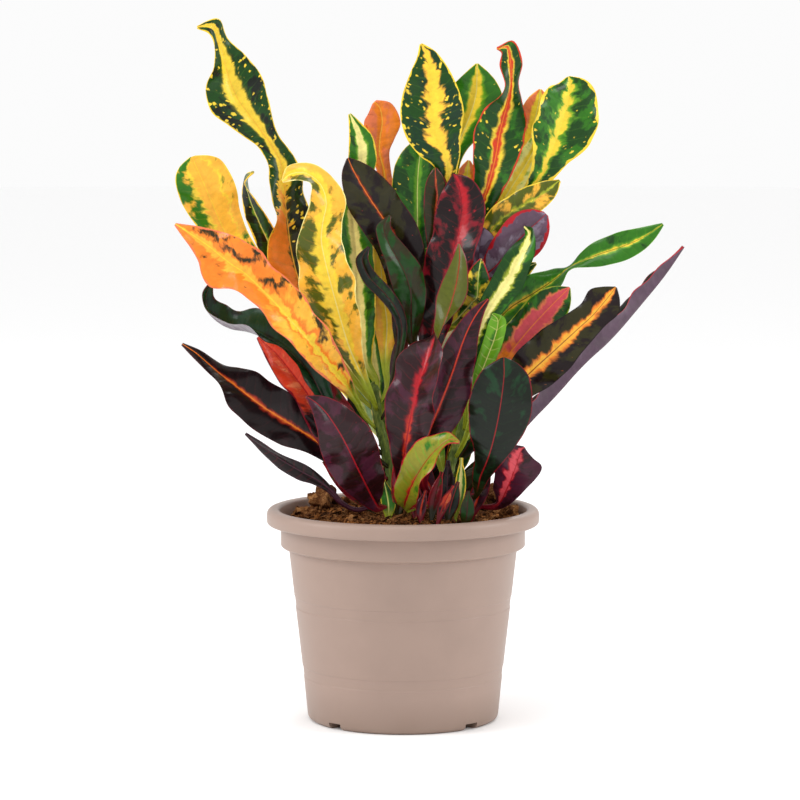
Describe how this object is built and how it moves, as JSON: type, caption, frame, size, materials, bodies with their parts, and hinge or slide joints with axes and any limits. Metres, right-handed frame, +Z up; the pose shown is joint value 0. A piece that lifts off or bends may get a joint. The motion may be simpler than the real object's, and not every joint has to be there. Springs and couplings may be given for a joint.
{
  "type": "potted croton",
  "caption": "Leafy croton houseplant with twisted painted leaves, standing in a plain moulded round nursery pot filled with soil.",
  "frame": {"origin": "middle of the pot's underside, on the surface it stands on", "axes": "+Z up along the pot's axis, +X to the plant's right seen from its front, +Y to its back"},
  "size_m": [0.315, 0.1837, 0.4355],
  "materials": {
    "pot_plastic": "matte, fine moulded grain",
    "potting_soil": "damp dark peat and bark crumbs",
    "young_stem": "smooth green-brown bark",
    "leaf_green": "glossy leathery leaf, green with yellow midrib bands",
    "leaf_yellow": "glossy leathery leaf, yellow to orange",
    "leaf_dark": "glossy leathery leaf, maroon to near black with red midribs"
  },
  "bodies": {
    "root": {"pot": "pot_plastic", "soil": "potting_soil", "stem_left": "young_stem", "stem_right": "young_stem", "stem_centre": "young_stem", "stem_back": "young_stem", "leaf_left_tall": "leaf_green", "leaf_left_spoon": "leaf_yellow", "leaf_left_curled": "leaf_green", "leaf_left_orange": "leaf_yellow", "leaf_left_green_curl": "leaf_green", "leaf_left_red": "leaf_dark", "leaf_left_crimson": "leaf_dark", "leaf_left_maroon": "leaf_dark", "leaf_low_left_twisted": "leaf_dark", "leaf_front_purple": "leaf_dark", "leaf_curly_yellow": "leaf_yellow", "leaf_tall_striped": "leaf_green", "leaf_golden": "leaf_yellow", "leaf_dark_arm": "leaf_dark", "leaf_dark_centre": "leaf_dark", "leaf_dark_curly": "leaf_dark", "leaf_black_red": "leaf_dark", "leaf_front_centre": "leaf_dark", "leaf_front_pair": "leaf_dark", "leaf_front_yellow": "leaf_yellow", "leaf_front_oval": "leaf_green", "leaf_low_right": "leaf_dark", "leaf_right_long_purple": "leaf_dark", "leaf_right_olive": "leaf_dark", "leaf_right_pink": "leaf_yellow", "leaf_right_long_green": "leaf_green", "leaf_right_twisted": "leaf_yellow", "leaf_right_bright": "leaf_green", "leaf_grey_spoon": "leaf_dark", "leaf_small_oval": "leaf_green", "leaf_green_blotched": "leaf_green", "leaf_purple_red_margin": "leaf_dark", "leaf_top_broad": "leaf_green", "leaf_top_behind": "leaf_green", "leaf_top_tall": "leaf_green", "leaf_top_round": "leaf_green", "leaf_top_bronze": "leaf_yellow", "leaf_top_pale": "leaf_yellow", "leaf_olive_yellow": "leaf_yellow", "leaf_top_orange": "leaf_yellow", "leaf_green_striped": "leaf_green", "leaf_dark_olive": "leaf_dark", "leaf_pink_tip": "leaf_yellow", "leaf_back_low_left": "leaf_dark", "leaf_back_left": "leaf_green", "leaf_back_middle": "leaf_dark", "leaf_back_high_left": "leaf_green", "leaf_back_high": "leaf_green", "leaf_back_right": "leaf_green", "leaf_back_high_right": "leaf_green", "leaf_back_low_right": "leaf_dark"}
  },
  "joints": []
}
